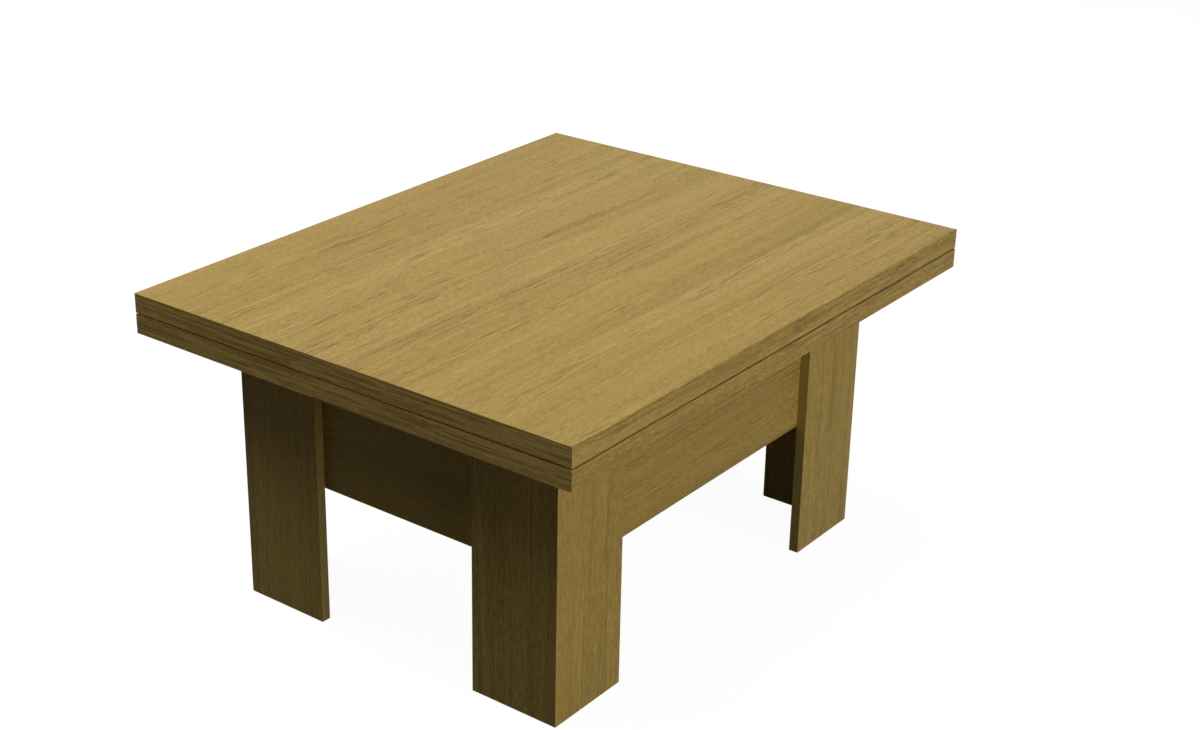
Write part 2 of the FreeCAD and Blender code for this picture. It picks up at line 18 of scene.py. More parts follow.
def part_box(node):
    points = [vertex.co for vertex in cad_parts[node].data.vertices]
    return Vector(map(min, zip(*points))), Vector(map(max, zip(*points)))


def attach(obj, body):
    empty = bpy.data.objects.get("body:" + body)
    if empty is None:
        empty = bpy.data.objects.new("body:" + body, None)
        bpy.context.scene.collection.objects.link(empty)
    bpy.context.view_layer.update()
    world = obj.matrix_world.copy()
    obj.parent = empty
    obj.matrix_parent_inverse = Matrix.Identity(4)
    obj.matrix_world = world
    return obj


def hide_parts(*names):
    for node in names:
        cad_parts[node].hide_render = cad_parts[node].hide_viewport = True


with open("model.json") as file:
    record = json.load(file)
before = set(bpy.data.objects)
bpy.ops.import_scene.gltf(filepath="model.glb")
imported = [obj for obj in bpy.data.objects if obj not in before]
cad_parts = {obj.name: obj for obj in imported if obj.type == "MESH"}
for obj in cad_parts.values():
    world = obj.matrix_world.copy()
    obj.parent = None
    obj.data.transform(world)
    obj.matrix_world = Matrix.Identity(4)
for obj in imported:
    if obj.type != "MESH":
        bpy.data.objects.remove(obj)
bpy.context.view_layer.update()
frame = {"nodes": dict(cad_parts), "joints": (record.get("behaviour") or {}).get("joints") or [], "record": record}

nodes = frame["nodes"]
scene = bpy.context.scene
scene.view_settings.view_transform = "Standard"

# %% [markdown]
# ## The camera
#
# The photograph is taken from the front right, a little above the top. Its place was found by
# fitting the straight edges of the table, so it is written here as plain numbers. The picture was
# cropped off centre, and a small lens shift puts the table where it stands in the frame.

# %% Camera
eye = Vector((1.737708, -2.276650, 1.605771))
look_down = math.radians(23.2338)
look_left = math.radians(38.92296)
roll = math.radians(0.10163)
lens_data = bpy.data.cameras.new("photo_camera")
lens_data.sensor_fit = "HORIZONTAL"
lens_data.sensor_width = 36.0
lens_data.lens = 60.655
lens_data.shift_x = 0.074402
lens_data.shift_y = -0.021922
camera = bpy.data.objects.new("photo_camera", lens_data)
aim = Euler((math.pi / 2 - look_down, 0.0, look_left)).to_matrix()
camera.rotation_euler = (aim @ Matrix.Rotation(roll, 3, "Z")).to_euler()
camera.location = eye
scene.collection.objects.link(camera)
scene.camera = camera
print("camera height:", round(eye.z, 3))

# %% [markdown]
# ## Wires: shader sums as Python
#
# A material is a graph of nodes. Adding each node by hand hides the idea behind the wiring, so one
# small class holds an output socket and turns Python sums into Math nodes. Every other node comes
# from one method: the node's type, its settings, and what goes into its sockets.

# %% The wire class
class Wire:
    """One output socket, so that sums on it can be written as Python."""

    def __init__(self, socket):
        self.socket = socket

    @staticmethod
    def node(tree, kind, settings=None, sockets=None, out=0):
        """Add a node: its settings first, then a value, a wire or a list of wires for each socket."""
        made = tree.nodes.new(kind)
        for key, value in (settings or {}).items():
            setattr(made, key, value)
        for key, value in (sockets or {}).items():
            for item in value if isinstance(value, list) else [value]:
                if isinstance(item, Wire):
                    tree.links.new(item.socket, made.inputs[key])
                else:
                    made.inputs[key].default_value = item
        return Wire(made.outputs[out]) if made.outputs else None

    def beside(self, name):
        """Another output of the same node."""
        return Wire(self.socket.node.outputs[name])

    def sums(self, operation, first, second=0.0):
        """A Math node in the same tree, on values or wires."""
        tree = self.socket.id_data
        return Wire.node(tree, "ShaderNodeMath", {"operation": operation}, {0: first, 1: second})

    def __add__(self, other):
        return self.sums("ADD", self, other)

    def __radd__(self, other):
        return self.sums("ADD", other, self)

    def __sub__(self, other):
        return self.sums("SUBTRACT", self, other)

    def __rsub__(self, other):
        return self.sums("SUBTRACT", other, self)

    def __mul__(self, other):
        return self.sums("MULTIPLY", self, other)

    def __rmul__(self, other):
        return self.sums("MULTIPLY", other, self)

    def __truediv__(self, other):
        return self.sums("DIVIDE", self, other)

    def __rtruediv__(self, other):
        return self.sums("DIVIDE", other, self)

    def __gt__(self, other):
        return self.sums("GREATER_THAN", self, other)

    def __abs__(self):
        return self.sums("ABSOLUTE", self)


print("wires ready")

# %% Helpers on wires
def axes(wire):
    """The three numbers of a vector."""
    first = Wire.node(wire.socket.id_data, "ShaderNodeSeparateXYZ", None, {0: wire})
    return {"X": first, "Y": first.beside("Y"), "Z": first.beside("Z")}


def vector(tree, x=0.0, y=0.0, z=0.0):
    """A vector from three numbers or wires."""
    return Wire.node(tree, "ShaderNodeCombineXYZ", None, {0: x, 1: y, 2: z})


def ramp(wire, low, high):
    """0 below low, 1 above high, and a smooth step between."""
    settings = {"interpolation_type": "SMOOTHSTEP"}
    return Wire.node(wire.socket.id_data, "ShaderNodeMapRange", settings, {0: wire, 1: low, 2: high})


def mixed(tree, share, first, second):
    """A colour between two colours."""
    return Wire.node(tree, "ShaderNodeMix", {"data_type": "RGBA"}, {0: share, 6: first, 7: second}, 2)


def noise(tree, place, detail=2.0, roughness=0.5):
    """Soft random marks, about one unit of the given place in size."""
    sockets = {"Vector": place, "Scale": 1.0, "Detail": detail, "Roughness": roughness}
    return Wire.node(tree, "ShaderNodeTexNoise", None, sockets)


print("helpers on wires:", [helper.__name__ for helper in (axes, vector, ramp, mixed, noise)])

# %% [markdown]
# ## A blank finish
#
# Each finish is a Principled shader. Numbers that are the same all over are set straight on its
# sockets; only what changes over the surface comes in by a wire. Wires for everything would work
# too, but each of them would have to be baked.

# %% Blank finish
def rgb(colour):
    """A colour as sockets take it, with nothing of it see-through."""
    return (colour[0], colour[1], colour[2], 1.0)


def finish(name, **constants):
    """A new material and its Principled shader, with its plain numbers set."""
    material = bpy.data.materials.new(name)
    material.use_nodes = True
    shader = material.node_tree.nodes["Principled BSDF"]
    for label, value in constants.items():
        shader.inputs[label.replace("_", " ")].default_value = value
    return material, material.node_tree, shader


def feed(tree, shader, **wires):
    """Plug wires into the shader's sockets."""
    for label, wire in wires.items():
        tree.links.new(wire.socket, shader.inputs[label.replace("_", " ")])


def bumped(tree, height, strength, distance):
    """A normal that tilts as if the surface had this height."""
    sockets = {"Strength": strength, "Distance": distance, "Height": height}
    return Wire.node(tree, "ShaderNodeBump", None, sockets)


def dress(name, material):
    """Give a piece of the frame its material."""
    for material_slot in nodes[name].material_slots:
        material_slot.material = material


print("blank finish ready")

# %% [markdown]
# ## Oak laminate
#
# Laminate is a printed picture of oak veneer under a satin skin. A picture could be wrapped on, but
# noise stretched along the grain gives the same marks at any size. The grain runs along one axis of
# each board, and on the narrow ends, which have their own strip of edging, it runs along the strip.
# So the normal picks the direction: where a face looks along the grain, two axes change places.
# The marks are the slow wander of the grain and then, from large to small, the veneer leaves that
# were laid side by side, some of them warmer, streaks, bundles of fine lines, open pores and a speckle.

# %% Marks of the oak
# Length and width of each mark in metres, then the detail and the roughness of its noise
oak_marks = {
    "wander": (0.45, 0.09, 2.0, 0.5),
    "leaf": (2.2, 0.060, 2.0, 0.5),
    "warmth": (1.6, 0.13, 1.0, 0.5),
    "streak": (1.1, 0.014, 3.0, 0.5),
    "crowd": (0.80, 0.024, 2.0, 0.5),
    "line": (0.26, 0.0034, 3.0, 0.6),
    "pore": (0.050, 0.0022, 1.0, 0.5),
    "speckle": (0.012, 0.0018, 2.0, 0.7),
}
noise_middle = 0.5
wander_reach = 0.034
leaf_weight = 0.8
streak_weight = 0.8
speckle_weight = 1.3
line_alone = 0.5
line_in_crowd = 1.3
line_on_end = 2.4
crowd_range = (0.44, 0.66)
honey = (0.385, 0.255, 0.055)
warm_range = (0.35, 0.70)
warm_share = 0.30
pore_brown = (0.115, 0.072, 0.024)
pore_range = (0.52, 0.70)
pore_alone = 0.10
pore_in_crowd = 0.30
print("kinds of mark:", len(oak_marks))

# %% [markdown]
# Two marks of light and shade are painted on the edges. Of a leg board's long edges, the one that
# looks inwards is a pale band in the photograph, so it gets painted light, and the one at the corner
# is darker, so it gets painted shade. And where the folded leaves meet, a painted shadow of the gap
# darkens the edging beside it. Strips of their own would be thinner than card, so both are mixed into
# the colour instead, where the normal and the height say so.

# %% Painted light and shade on the edges
square_on = 0.7
# Painted light on a leg board's inner edge and painted shade on its corner edge
painted_light_band = (0.610, 0.450, 0.145)
painted_light_share = 0.6
painted_corner_shade = (0.080, 0.050, 0.016)
corner_shade_share = 0.2
# Painted shadow of the gap between the folded leaves: its colour, its share, and where it fades
painted_gap_shade = (0.060, 0.036, 0.010)
gap_shade_share = 0.75
gap_shade_full = 0.0013
gap_shade_gone = 0.0020
to_mm = 1000


def paint_edge_light_and_shade(tree, colour, looks_in):
    """Painted light on the inner edge and painted shade on the corner edge of a leg board."""
    # inner is the share of painted light, corner the share of painted shade
    inner = (looks_in > square_on) * painted_light_share
    corner = (looks_in * -1.0 > square_on) * corner_shade_share
    colour = mixed(tree, inner, colour, rgb(painted_light_band))
    return mixed(tree, corner, colour, rgb(painted_corner_shade))


def paint_gap_shade(tree, colour, place, facing, seam):
    """Painted shadow of the gap on the upright sides of an edging, close to the height of the seam."""
    upright = 1.0 - (abs(facing["Z"]) > square_on)
    # The painted shadow of the gap is darkest at the seam and fades out above and below it
    seam_shade = (1.0 - ramp(abs(place["Z"] - seam), gap_shade_full, gap_shade_gone)) * upright
    return mixed(tree, seam_shade * gap_shade_share, colour, rgb(painted_gap_shade))


# How far from the middle of the gap the painted shadow fades out
print("dust ends", to_mm * gap_shade_gone, "mm from the middle of the gap")

# %% Oak maker
satin = 0.46
satin_on_line = 0.4
satin_in_pore = 0.12
line_height = 0.6


def oak(name, grain, cross, shift, light, dark, streaky, flecked, inward=0.0, seam=None):
    """Oak with its grain along one axis; a shift makes each board its own cut.

    A leg board has inward set, to 1 or -1, for the side on which its edge gets painted light; its other long edge
    gets painted shade.
    An edging has seam set, to the height where the folded leaves meet and where its painted shadow of the gap
    lies.
    """
    material, tree, shader = finish(name, Specular_IOR_Level=0.05)
    place = axes(Wire.node(tree, "ShaderNodeTexCoord", out="Object"))
    facing = axes(Wire.node(tree, "ShaderNodeTexCoord", out="Normal"))
    third = next(axis for axis in "XYZ" if axis not in (grain, cross))
    on_end = abs(facing[grain]) > square_on
    along = place[grain] + (place[cross] - place[grain]) * on_end + shift
    across = place[cross] + (place[grain] - place[cross]) * on_end
    deep = place[third] + shift

    def marks(kind):
        """Noise that is stretched to one kind of mark."""
        length, width, detail, rough = oak_marks[kind]
        stretched = vector(tree, along / length, across / width, deep / width)
        return noise(tree, stretched, detail, rough)

    across = across + (marks("wander") - noise_middle) * wander_reach
    leaf = marks("leaf") - noise_middle
    streak = marks("streak") - noise_middle
    crowd = ramp(marks("crowd"), *crowd_range)
    line = marks("line") - noise_middle
    speckle = marks("speckle") - noise_middle
    line_weight = crowd * line_in_crowd + on_end * line_on_end + line_alone
    fine = line * line_weight + speckle * speckle_weight
    tone = leaf * leaf_weight + streak * streak_weight + fine * streaky + noise_middle
    colour = mixed(tree, tone, rgb(dark), rgb(light))
    warmth = ramp(marks("warmth"), *warm_range) * warm_share
    colour = mixed(tree, warmth, colour, rgb(honey))
    pore = ramp(marks("pore"), *pore_range) * (crowd * pore_in_crowd + pore_alone)
    colour = mixed(tree, pore * flecked, colour, rgb(pore_brown))
    # Painted light and painted shade on the long edges of a leg board
    if inward:
        colour = paint_edge_light_and_shade(tree, colour, facing[cross] * inward)
    # Painted shadow of the gap on an edging
    if seam is not None:
        colour = paint_gap_shade(tree, colour, place, facing, seam)
    roughness = line * satin_on_line + pore * satin_in_pore + satin
    grain_bump = bumped(tree, line * line_height - pore, strength=0.15, distance=0.0003)
    feed(tree, shader, Base_Color=colour, Roughness=roughness, Normal=grain_bump)
    return material


print("oak maker ready")

# %% [markdown]
# The two leaves have their grain along the hinges, the legs upright and the aprons level. A leaf and
# its edging share one shift, so that the top's pattern runs on over the thin strip at its border.
# Each board could have the same oak, but then the eye would find the same streak twice.

# %% Looks of the oak
leaf_look = {"light": (0.495, 0.346, 0.112), "dark": (0.280, 0.182, 0.044), "streaky": 1.8, "flecked": 1.5}
edging_light = {"upper": (0.585, 0.401, 0.115), "lower": (0.545, 0.374, 0.107)}
edging_look = {"dark": (0.257, 0.163, 0.037), "streaky": 1.5, "flecked": 1.4}
leg_look = {"light": (0.485, 0.330, 0.088), "dark": (0.260, 0.166, 0.034), "streaky": 2.2, "flecked": 1.0}
apron_look = {"light": (0.452, 0.306, 0.080), "dark": (0.242, 0.154, 0.031), "streaky": 2.0, "flecked": 1.0}
first_cut = {"leaf": 3.1, "leg": 11.3, "apron": 31.7}
next_cut = {"leaf": 2.7, "leg": 1.9, "apron": 2.3}
seam = (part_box("upper_leaf")[0][2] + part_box("lower_leaf")[1][2]) / 2
print("height of the seam:", round(seam, 4))

# %% Oak on every board
oak_of = {}
for count, which in enumerate(("upper", "lower")):
    shift = first_cut["leaf"] + next_cut["leaf"] * count
    oak_of[which + "_leaf"] = oak(which + "_leaf_oak", "Y", "X", shift, **leaf_look)
    edging = oak(which + "_edging_oak", "Y", "X", shift, edging_light[which], **edging_look, seam=seam)
    oak_of[which + "_leaf_edging"] = edging
for count, corner in enumerate(("front_left", "front_right", "back_right", "back_left")):
    # Which way each board's edge with painted light looks
    inward_x = 1.0 if "left" in corner else -1.0
    inward_y = 1.0 if "front" in corner else -1.0
    for step, (board, cross, inward) in enumerate((("side", "Y", inward_y), ("face", "X", inward_x))):
        name = corner + "_leg_" + board + "_board"
        shift = first_cut["leg"] + next_cut["leg"] * (2 * count + step)
        oak_of[name] = oak(name + "_oak", "Z", cross, shift, **leg_look, inward=inward)
for count, (side, grain) in enumerate((("front", "X"), ("back", "X"), ("left", "Y"), ("right", "Y"))):
    name = side + "_apron"
    shift = first_cut["apron"] + next_cut["apron"] * count
    oak_of[name] = oak(name + "_oak", grain, "Z", shift, **apron_look)
for name, material in oak_of.items():
    dress(name, material)
print("pieces dressed in oak:", len(oak_of))

# %% [markdown]
# ## Steel, brass, nylon and felt
#
# The lift is black powder-coated steel: the powder melts into a fine orange-peel skin, so it needs
# a soft bump more than a colour. Screws and pins are zinc plated, which leaves faint cloudy tints.
# The hinges are brushed brass, scratched along their length. The springs have a painted tube and a
# polished rod. Bushes and spacers are natural nylon, and the pads are brown felt. All of them could
# be one flat colour each, but a little unevenness tells the eye which is metal and which is moulded.

# %% Even marks
def even_marks(tree, size, detail=2.0):
    """Noise with marks of one size in every direction, on the piece's own coordinates."""
    place = Wire.node(tree, "ShaderNodeTexCoord", out="Object")
    sockets = {0: place, "Scale": 1.0 / size}
    scaled = Wire.node(tree, "ShaderNodeVectorMath", {"operation": "SCALE"}, sockets)
    return noise(tree, scaled, detail)


def varied(marks, base, spread):
    """A number that the marks push up from its base."""
    return marks * spread + base


print("even marks ready")

# %% Coated and plated steel
coat_lift = 1.5
zinc_blue = (0.50, 0.51, 0.53)
zinc_straw = (0.62, 0.60, 0.54)


def powder_coat(name, colour):
    """Sprayed powder, melted into a skin like orange peel."""
    material, tree, shader = finish(name, Specular_IOR_Level=0.4)
    peel = even_marks(tree, size=0.0011)
    cloud = even_marks(tree, size=0.045)
    lighter = tuple(coat_lift * part for part in colour)
    feed(tree, shader, Base_Color=mixed(tree, cloud, rgb(colour), rgb(lighter)))
    feed(tree, shader, Roughness=varied(peel, base=0.42, spread=0.16))
    feed(tree, shader, Normal=bumped(tree, peel, strength=0.25, distance=0.0002))
    return material


def zinc_plate(name):
    """Plating with cloudy tints of blue and straw."""
    material, tree, shader = finish(name, Metallic=1.0)
    cloud = ramp(even_marks(tree, size=0.006, detail=3.0), low=0.35, high=0.65)
    speck = even_marks(tree, size=0.0006)
    feed(tree, shader, Base_Color=mixed(tree, cloud, rgb(zinc_blue), rgb(zinc_straw)))
    feed(tree, shader, Roughness=varied(speck, base=0.26, spread=0.2))
    feed(tree, shader, Normal=bumped(tree, speck, strength=0.15, distance=0.00005))
    return material


zinc = zinc_plate("zinc_plate")
bracket_coat = powder_coat("bracket_powder_coat", (0.026, 0.027, 0.029))
bar_coat = powder_coat("bar_powder_coat", (0.032, 0.033, 0.035))
tube_paint = powder_coat("spring_tube_paint", (0.011, 0.011, 0.012))
print("steel finishes:", [material.name for material in (zinc, bracket_coat, bar_coat, tube_paint)])

# %% Brass and chrome
brass_clean = (0.58, 0.38, 0.12)
brass_stained = (0.42, 0.26, 0.07)
scratch_wide = 0.0003
scratch_long = 0.02
chrome_deep = (0.58, 0.58, 0.60)
chrome_bright = (0.66, 0.66, 0.67)


def brushed_brass(name):
    """Brass with fine scratches along the hinges and a few stains."""
    material, tree, shader = finish(name, Metallic=1.0)
    place = axes(Wire.node(tree, "ShaderNodeTexCoord", out="Object"))
    across, along, up = place["X"] / scratch_wide, place["Y"] / scratch_long, place["Z"] / scratch_wide
    scratch = noise(tree, vector(tree, across, along, up))
    stain = ramp(even_marks(tree, size=0.012, detail=3.0), low=0.35, high=0.7)
    feed(tree, shader, Base_Color=mixed(tree, stain, rgb(brass_clean), rgb(brass_stained)))
    feed(tree, shader, Roughness=varied(scratch, base=0.2, spread=0.25))
    feed(tree, shader, Normal=bumped(tree, scratch, strength=0.2, distance=0.00006))
    return material


def polished_rod(name):
    """Hard chrome with a faint haze."""
    material, tree, shader = finish(name, Metallic=1.0)
    haze = even_marks(tree, size=0.004, detail=3.0)
    feed(tree, shader, Base_Color=mixed(tree, haze, rgb(chrome_deep), rgb(chrome_bright)))
    feed(tree, shader, Roughness=varied(haze, base=0.06, spread=0.12))
    return material


brass = brushed_brass("brushed_brass")
rod_chrome = polished_rod("spring_rod_chrome")
print("bright finishes:", [material.name for material in (brass, rod_chrome)])

# %% Soft and moulded finishes
def moulded(name, colour, deeper):
    """Plastic from a mould with a fine texture."""
    material, tree, shader = finish(name, Specular_IOR_Level=0.4)
    cloud = even_marks(tree, size=0.008, detail=3.0)
    texture = even_marks(tree, size=0.0007)
    feed(tree, shader, Base_Color=mixed(tree, cloud, rgb(deeper), rgb(colour)))
    feed(tree, shader, Roughness=varied(texture, base=0.4, spread=0.2))
    feed(tree, shader, Normal=bumped(tree, texture, strength=0.15, distance=0.0001))
    return material


def pressed_felt(name, colour, deeper):
    """Matted fibres, lighter where they stand up."""
    material, tree, shader = finish(name, Specular_IOR_Level=0.1, Sheen_Weight=0.3)
    fibre = even_marks(tree, size=0.0009, detail=4.0)
    feed(tree, shader, Base_Color=mixed(tree, ramp(fibre, low=0.3, high=0.7), rgb(deeper), rgb(colour)))
    feed(tree, shader, Roughness=varied(fibre, base=0.88, spread=0.1))
    feed(tree, shader, Normal=bumped(tree, fibre, strength=0.6, distance=0.0004))
    return material


nylon = moulded("natural_nylon", colour=(0.66, 0.64, 0.58), deeper=(0.56, 0.54, 0.48))
gland_plastic = moulded("gland_plastic", colour=(0.032, 0.032, 0.034), deeper=(0.022, 0.022, 0.023))
felt = pressed_felt("brown_felt", colour=(0.15, 0.105, 0.062), deeper=(0.075, 0.052, 0.030))
print("soft and moulded finishes:", [material.name for material in (nylon, gland_plastic, felt)])

# %% [markdown]
# The dowels are beech, a calm pale wood. It could have a maker of its own, but the oak maker with
# pale tones and weak marks comes so close that a second one would only repeat it. The record says
# which finish each piece of the frame takes, so one loop dresses all that is not oak.

# %% A finish for every other piece
beech_look = {"light": (0.60, 0.41, 0.23), "dark": (0.48, 0.31, 0.16), "streaky": 0.7, "flecked": 0.7}
beech_cut = 51.0
finish_for_slot = {
    "zinc_steel": zinc, "nylon": nylon, "coated_bracket": bracket_coat, "coated_bar": bar_coat,
    "hinge_brass": brass, "strut_black": tube_paint, "strut_gland": gland_plastic,
    "strut_chrome": rod_chrome, "felt": felt,
    "beech_dowel": oak("beech_peg", "X", "Y", beech_cut, **beech_look),
}
other_pieces = [entry for entry in frame["record"]["subparts"] if entry["material_slot"] in finish_for_slot]
for entry in other_pieces:
    dress(entry["node"], finish_for_slot[entry["material_slot"]])
print("pieces dressed in other finishes:", len(other_pieces))

# %% [markdown]
# ## Screws from one tree
#
# Eighty-four countersunk screws hold the table together, in a few sizes. Copying one mesh by hand
# would fix its size, so a Geometry Nodes tree builds the screw from its shank and length: a cone
# for the head with a cross cut out of it, a core, and a ridge that winds round the core. The tree
# sets one screw on each point, turned into the wood and then spun by a seeded random angle, because
# nobody stops every screw at the same angle. The points are read from the plain screws in the frame.

# %% Solids of a piece
touching = 1e-6
place_digits = 4


def box_of(points):
    """The lowest and the highest corner of some points."""
    low = Vector([min(point[i] for point in points) for i in range(3)])
    high = Vector([max(point[i] for point in points) for i in range(3)])
    return low, high


def low_corner(points):
    """The lowest corner of some points, to a tenth of a millimetre."""
    return [round(number, place_digits) for number in box_of(points)[0]]


def islands(name):
    """The separate solids of a frame piece, as lists of points, in the same order each run."""
    work = bmesh.new()
    work.from_mesh(nodes[name].data)
    bmesh.ops.remove_doubles(work, verts=work.verts, dist=touching)
    waiting = set(work.verts)
    found = []
    while waiting:
        queue = [waiting.pop()]
        points = []
        while queue:
            vert = queue.pop()
            points.append(vert.co.copy())
            fresh = [edge.other_vert(vert) for edge in vert.link_edges]
            fresh = [other for other in fresh if other in waiting]
            waiting.difference_update(fresh)
            queue.extend(fresh)
        found.append(points)
    work.free()
    return sorted(found, key=low_corner)


print("leg screws in the frame:", len(islands("leg_screws")))

# %% Where a screw sits
end_slack = 1e-5


def screw_place(points, run=None):
    """Head centre, way in, shank radius and length of one plain screw.

    It lies along its longest axis, or along the one that is given.
    """
    low, high = box_of(points)
    size = high - low
    if run is None:
        run = max(range(3), key=lambda i: size[i])
    beside = (run + 1) % 3
    widths = []
    for end in (low[run], high[run]):
        row = [point[beside] for point in points if abs(point[run] - end) < end_slack]
        widths.append(max(row) - min(row))
    head = (low + high) / 2
    way = Vector((0.0, 0.0, 0.0))
    head[run] = low[run] if widths[0] > widths[1] else high[run]
    way[run] = 1.0 if widths[0] > widths[1] else -1.0
    return head, way, min(widths) / 2, size[run]


print("first leg screw:", [round(value, 4) for value in screw_place(islands("leg_screws")[0])[0]])

# %% Open and close a tree
def geometry_tree(name, lengths, seeded=False):
    """A tree with an input for each length, for a seed where it draws, and for its finish.

    Returns the tree, a wire for its points and a wire for each input.
    """
    tree = bpy.data.node_groups.new(name, "GeometryNodeTree")
    kinds = {length: "NodeSocketFloat" for length in lengths}
    if seeded:
        kinds["Seed"] = "NodeSocketInt"
    kinds["Finish"] = "NodeSocketMaterial"
    tree.interface.new_socket("Geometry", in_out="INPUT", socket_type="NodeSocketGeometry")
    for label, kind in kinds.items():
        tree.interface.new_socket(label, in_out="INPUT", socket_type=kind)
    tree.interface.new_socket("Geometry", in_out="OUTPUT", socket_type="NodeSocketGeometry")
    points = Wire.node(tree, "NodeGroupInput")
    return tree, points, {label: points.beside(label) for label in kinds}


def close_tree(tree, geometry, material):
    """Make the copies real, give them their material and hand them out."""
    real = Wire.node(tree, "GeometryNodeRealizeInstances", None, {0: geometry})
    sockets = {"Geometry": real, "Material": material}
    coloured = Wire.node(tree, "GeometryNodeSetMaterial", None, sockets)
    Wire.node(tree, "NodeGroupOutput", None, {0: coloured})


print("trees can be opened and closed")

# %% Move and copy in a tree
def moved(tree, geometry, offset, turn=(0.0, 0.0, 0.0)):
    """A shape, turned and then pushed along."""
    sockets = {"Geometry": geometry, "Translation": offset, "Rotation": turn}
    return Wire.node(tree, "GeometryNodeTransform", None, sockets)


def on_points(tree, points, instance, spin=0.0):
    """Copies of a shape on the points, their Z turned to the points' way."""
    settings = {"data_type": "FLOAT_VECTOR"}
    way = Wire.node(tree, "GeometryNodeInputNamedAttribute", settings, {"Name": "way"})
    aimed = Wire.node(tree, "FunctionNodeAlignRotationToVector", {"axis": "Z"}, {"Vector": way})
    sockets = {"Axis": (0.0, 0.0, 1.0), "Angle": spin}
    spun = Wire.node(tree, "FunctionNodeAxisAngleToRotation", None, sockets)
    sockets = {"Rotation": aimed, "Rotate By": spun}
    turned = Wire.node(tree, "FunctionNodeRotateRotation", {"rotation_space": "LOCAL"}, sockets)
    sockets = {"Points": points, "Instance": instance, "Rotation": turned}
    return Wire.node(tree, "GeometryNodeInstanceOnPoints", None, sockets)


print("shapes can be moved and copied")

# %% Keep what a tree makes
def grown(name, places, tree, values, crease):
    """Run a tree on points and keep the result as a plain mesh object, sharp past the crease angle."""
    dots = bpy.data.meshes.new(name + "_points")
    dots.from_pydata([place for place, way in places], [], [])
    ways = dots.attributes.new("way", "FLOAT_VECTOR", "POINT")
    ways.data.foreach_set("vector", [number for place, way in places for number in way])
    holder = bpy.data.objects.new(name + "_points", dots)
    scene.collection.objects.link(holder)
    modifier = holder.modifiers.new("grow", "NODES")
    modifier.node_group = tree
    for item in tree.interface.items_tree:
        if item.in_out == "INPUT" and item.name in values:
            modifier[item.identifier] = values[item.name]
    depsgraph = bpy.context.evaluated_depsgraph_get()
    mesh = bpy.data.meshes.new_from_object(holder.evaluated_get(depsgraph))
    bpy.data.objects.remove(holder)
    mesh.polygons.foreach_set("use_smooth", [True] * len(mesh.polygons))
    mesh.set_sharp_from_angle(angle=math.radians(crease))
    piece = bpy.data.objects.new(name, mesh)
    scene.collection.objects.link(piece)
    return piece


def take_place(piece, node, body):
    """Let a piece ride on a body, in the place of a plain node."""
    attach(piece, body)
    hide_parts(node)


def triangles(piece):
    """How many triangles a piece has."""
    return sum(len(face.vertices) - 2 for face in piece.data.polygons)


print("meshes can be kept")

# %% The screw's head
# Lengths in shank radii
head_wide = 1.95
head_high = 1.2
slot_wide = 0.42
slot_long = 2.1
slot_deep = 1.7
head_sides = 24
screw_tree, screw_points, screw_given = geometry_tree("countersunk_screw", ("Shank", "Length"), seeded=True)
shank = screw_given["Shank"]
head_depth = shank * head_high
sockets = {"Vertices": head_sides, "Radius Top": shank, "Radius Bottom": shank * head_wide,
           "Depth": head_depth}
blank_head = Wire.node(screw_tree, "GeometryNodeMeshCone", None, sockets)
slot_size = vector(screw_tree, shank * slot_wide, shank * slot_long, shank * slot_deep)
bar = Wire.node(screw_tree, "GeometryNodeMeshCube", None, {"Size": slot_size})
cross_bar = moved(screw_tree, bar, (0.0, 0.0, 0.0), turn=(0.0, 0.0, math.pi / 2))
settings = {"operation": "DIFFERENCE", "solver": "MANIFOLD"}
sockets = {"Mesh 1": blank_head, "Mesh 2": [bar, cross_bar]}
cut_head = Wire.node(screw_tree, "GeometryNodeMeshBoolean", settings, sockets)
print("nodes for the head:", len(screw_tree.nodes))

# %% The screw's core and ridge
# Lengths in shank radii
core_wide = 0.74
ridge_wide = 0.82
ridge_thick = 0.16
ridge_pitch = 0.95
core_sides = 12
ridge_sides = 4
steps_a_turn = 10
core_run = screw_given["Length"] - head_depth
sockets = {"Vertices": core_sides, "Radius": shank * core_wide, "Depth": core_run}
core = Wire.node(screw_tree, "GeometryNodeMeshCylinder", None, sockets)
core = moved(screw_tree, core, vector(screw_tree, z=head_depth + core_run * 0.5))
sockets = {"Resolution": steps_a_turn, "Rotations": core_run / (shank * ridge_pitch), "Height": core_run,
           "Start Radius": shank * ridge_wide, "End Radius": shank * ridge_wide}
ridge_path = Wire.node(screw_tree, "GeometryNodeCurveSpiral", None, sockets)
sockets = {"Resolution": ridge_sides, "Radius": shank * ridge_thick}
ridge_form = Wire.node(screw_tree, "GeometryNodeCurvePrimitiveCircle", None, sockets)
sockets = {"Curve": ridge_path, "Profile Curve": ridge_form, "Fill Caps": True}
ridge = Wire.node(screw_tree, "GeometryNodeCurveToMesh", None, sockets)
ridge = moved(screw_tree, ridge, vector(screw_tree, z=head_depth))
screw = Wire.node(screw_tree, "GeometryNodeJoinGeometry", None, {0: [cut_head, core, ridge]})
sockets = {2: 0.0, 3: math.pi, "Seed": screw_given["Seed"]}
spin = Wire.node(screw_tree, "FunctionNodeRandomValue", {"data_type": "FLOAT"}, sockets, 1)
close_tree(screw_tree, on_points(screw_tree, screw_points, screw, spin), screw_given["Finish"])
print("nodes for the whole screw:", len(screw_tree.nodes))

# %% Drive the screws
crisp_angle = 35


